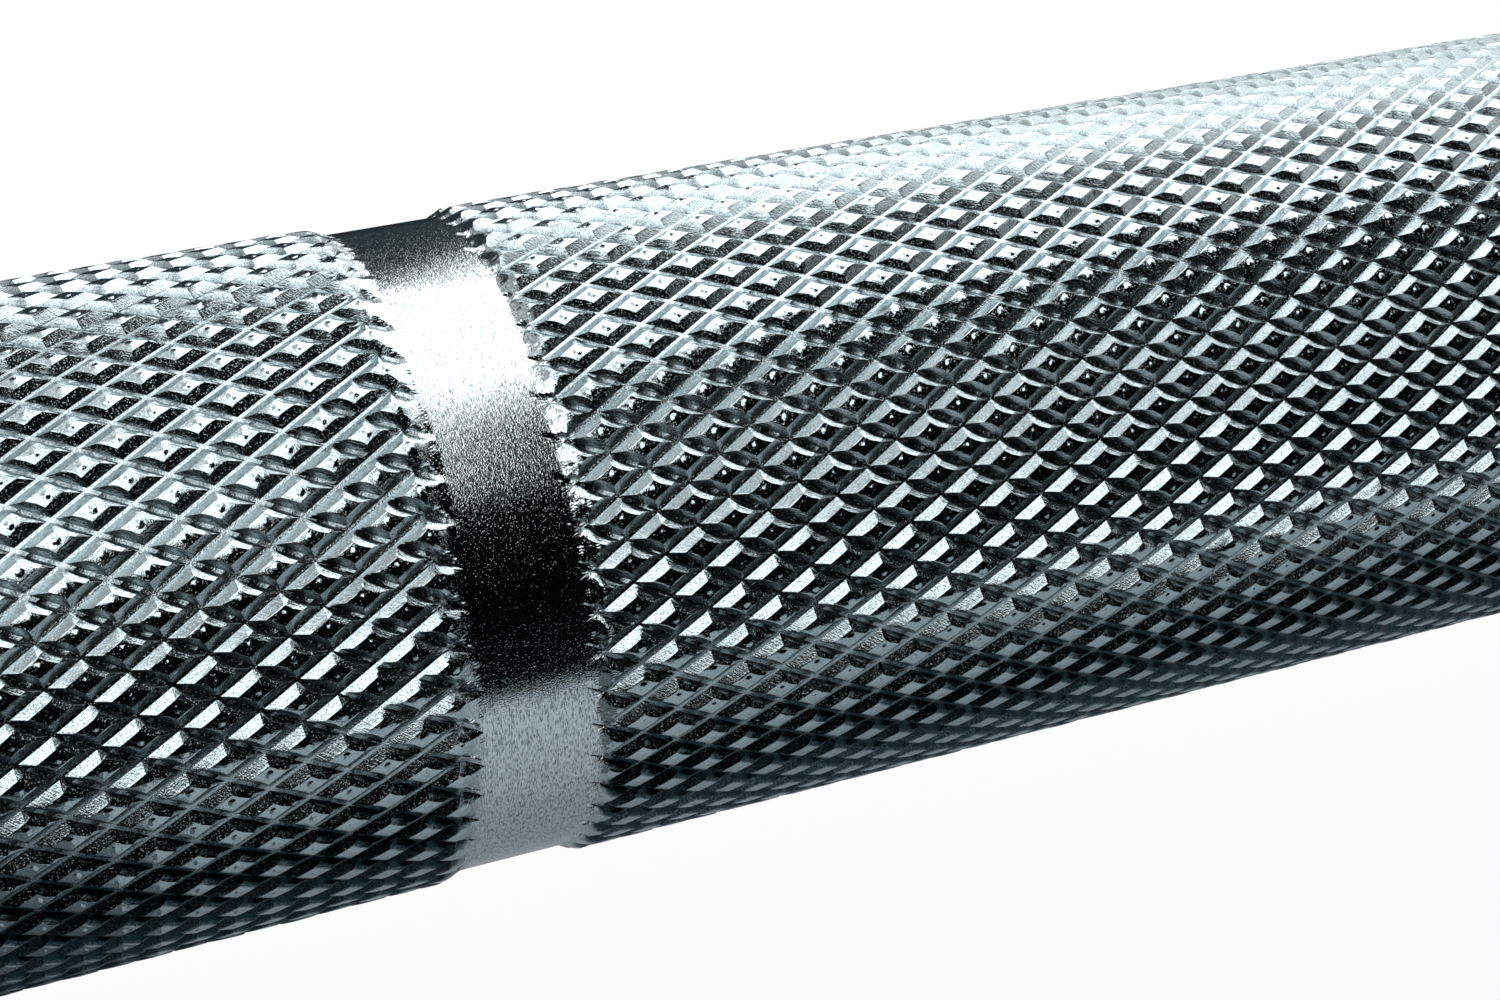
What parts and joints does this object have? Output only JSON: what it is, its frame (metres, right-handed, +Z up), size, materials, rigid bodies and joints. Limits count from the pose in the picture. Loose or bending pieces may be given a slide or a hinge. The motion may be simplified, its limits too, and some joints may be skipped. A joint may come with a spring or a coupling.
{
  "type": "olympic barbell",
  "caption": "Olympic weightlifting barbell: a long knurled chrome shaft with smooth ring marks, and flanged plate sleeves that spin freely on needle bearings at its ends.",
  "frame": {"origin": "middle of the shaft's axis, half way between the collars", "axes": "+X along the bar towards the right sleeve's end, +Y away from the picture's camera, +Z up"},
  "size_m": [2.2, 0.078, 0.078],
  "materials": {
    "shaft_chrome": "polished",
    "sleeve_chrome": "polished",
    "collar_chrome": "satin",
    "bearing_steel": "polished",
    "cage_steel": "satin",
    "spacer_steel": "satin",
    "spring_steel": "satin",
    "thrust_bronze": "satin",
    "seal_rubber": "matte",
    "cap_aluminium": "satin"
  },
  "bodies": {
    "shaft": {"shaft": "shaft_chrome", "left_inner_thrust_washer": "thrust_bronze", "left_outer_thrust_washer": "thrust_bronze", "left_shaft_snap_ring": "spring_steel", "right_inner_thrust_washer": "thrust_bronze", "right_outer_thrust_washer": "thrust_bronze", "right_shaft_snap_ring": "spring_steel"},
    "left_sleeve_assembly": {"left_sleeve": "sleeve_chrome", "left_collar": "collar_chrome", "left_dust_seal": "seal_rubber", "left_bearing_spacer": "spacer_steel", "left_end_cap": "cap_aluminium", "left_end_cap_snap_ring": "spring_steel", "left_bearing_cup_1": "bearing_steel", "left_bearing_cup_2": "bearing_steel", "left_bearing_cup_3": "bearing_steel", "left_bearing_cup_4": "bearing_steel"},
    "left_rollers_1": {"left_bearing_cage_1": "cage_steel", "left_bearing_needles_1": "bearing_steel"},
    "left_rollers_2": {"left_bearing_cage_2": "cage_steel", "left_bearing_needles_2": "bearing_steel"},
    "left_rollers_3": {"left_bearing_cage_3": "cage_steel", "left_bearing_needles_3": "bearing_steel"},
    "left_rollers_4": {"left_bearing_cage_4": "cage_steel", "left_bearing_needles_4": "bearing_steel"},
    "right_sleeve_assembly": {"right_sleeve": "sleeve_chrome", "right_collar": "collar_chrome", "right_dust_seal": "seal_rubber", "right_bearing_spacer": "spacer_steel", "right_end_cap": "cap_aluminium", "right_end_cap_snap_ring": "spring_steel", "right_bearing_cup_1": "bearing_steel", "right_bearing_cup_2": "bearing_steel", "right_bearing_cup_3": "bearing_steel", "right_bearing_cup_4": "bearing_steel"},
    "right_rollers_1": {"right_bearing_cage_1": "cage_steel", "right_bearing_needles_1": "bearing_steel"},
    "right_rollers_2": {"right_bearing_cage_2": "cage_steel", "right_bearing_needles_2": "bearing_steel"},
    "right_rollers_3": {"right_bearing_cage_3": "cage_steel", "right_bearing_needles_3": "bearing_steel"},
    "right_rollers_4": {"right_bearing_cage_4": "cage_steel", "right_bearing_needles_4": "bearing_steel"}
  },
  "joints": [
    {"name": "left_sleeve_spin", "type": "hinge", "parent": "shaft", "child": "left_sleeve_assembly", "pos_m": [-0.655, 0, 0], "axis": [1, 0, 0], "continuous": true},
    {"name": "left_rollers_1_orbit", "type": "hinge", "parent": "shaft", "child": "left_rollers_1", "pos_m": [-0.655, 0, 0], "axis": [1, 0, 0], "continuous": true},
    {"name": "left_rollers_2_orbit", "type": "hinge", "parent": "shaft", "child": "left_rollers_2", "pos_m": [-0.655, 0, 0], "axis": [1, 0, 0], "continuous": true},
    {"name": "left_rollers_3_orbit", "type": "hinge", "parent": "shaft", "child": "left_rollers_3", "pos_m": [-0.655, 0, 0], "axis": [1, 0, 0], "continuous": true},
    {"name": "left_rollers_4_orbit", "type": "hinge", "parent": "shaft", "child": "left_rollers_4", "pos_m": [-0.655, 0, 0], "axis": [1, 0, 0], "continuous": true},
    {"name": "right_sleeve_spin", "type": "hinge", "parent": "shaft", "child": "right_sleeve_assembly", "pos_m": [0.655, 0, 0], "axis": [1, 0, 0], "continuous": true},
    {"name": "right_rollers_1_orbit", "type": "hinge", "parent": "shaft", "child": "right_rollers_1", "pos_m": [0.655, 0, 0], "axis": [1, 0, 0], "continuous": true},
    {"name": "right_rollers_2_orbit", "type": "hinge", "parent": "shaft", "child": "right_rollers_2", "pos_m": [0.655, 0, 0], "axis": [1, 0, 0], "continuous": true},
    {"name": "right_rollers_3_orbit", "type": "hinge", "parent": "shaft", "child": "right_rollers_3", "pos_m": [0.655, 0, 0], "axis": [1, 0, 0], "continuous": true},
    {"name": "right_rollers_4_orbit", "type": "hinge", "parent": "shaft", "child": "right_rollers_4", "pos_m": [0.655, 0, 0], "axis": [1, 0, 0], "continuous": true}
  ],
  "couplings": [
    {"joint": "left_rollers_1_orbit", "follows": "left_sleeve_spin", "ratio": 0.54545},
    {"joint": "left_rollers_2_orbit", "follows": "left_sleeve_spin", "ratio": 0.54545},
    {"joint": "left_rollers_3_orbit", "follows": "left_sleeve_spin", "ratio": 0.54545},
    {"joint": "left_rollers_4_orbit", "follows": "left_sleeve_spin", "ratio": 0.54545},
    {"joint": "right_rollers_1_orbit", "follows": "right_sleeve_spin", "ratio": 0.54545},
    {"joint": "right_rollers_2_orbit", "follows": "right_sleeve_spin", "ratio": 0.54545},
    {"joint": "right_rollers_3_orbit", "follows": "right_sleeve_spin", "ratio": 0.54545},
    {"joint": "right_rollers_4_orbit", "follows": "right_sleeve_spin", "ratio": 0.54545}
  ]
}
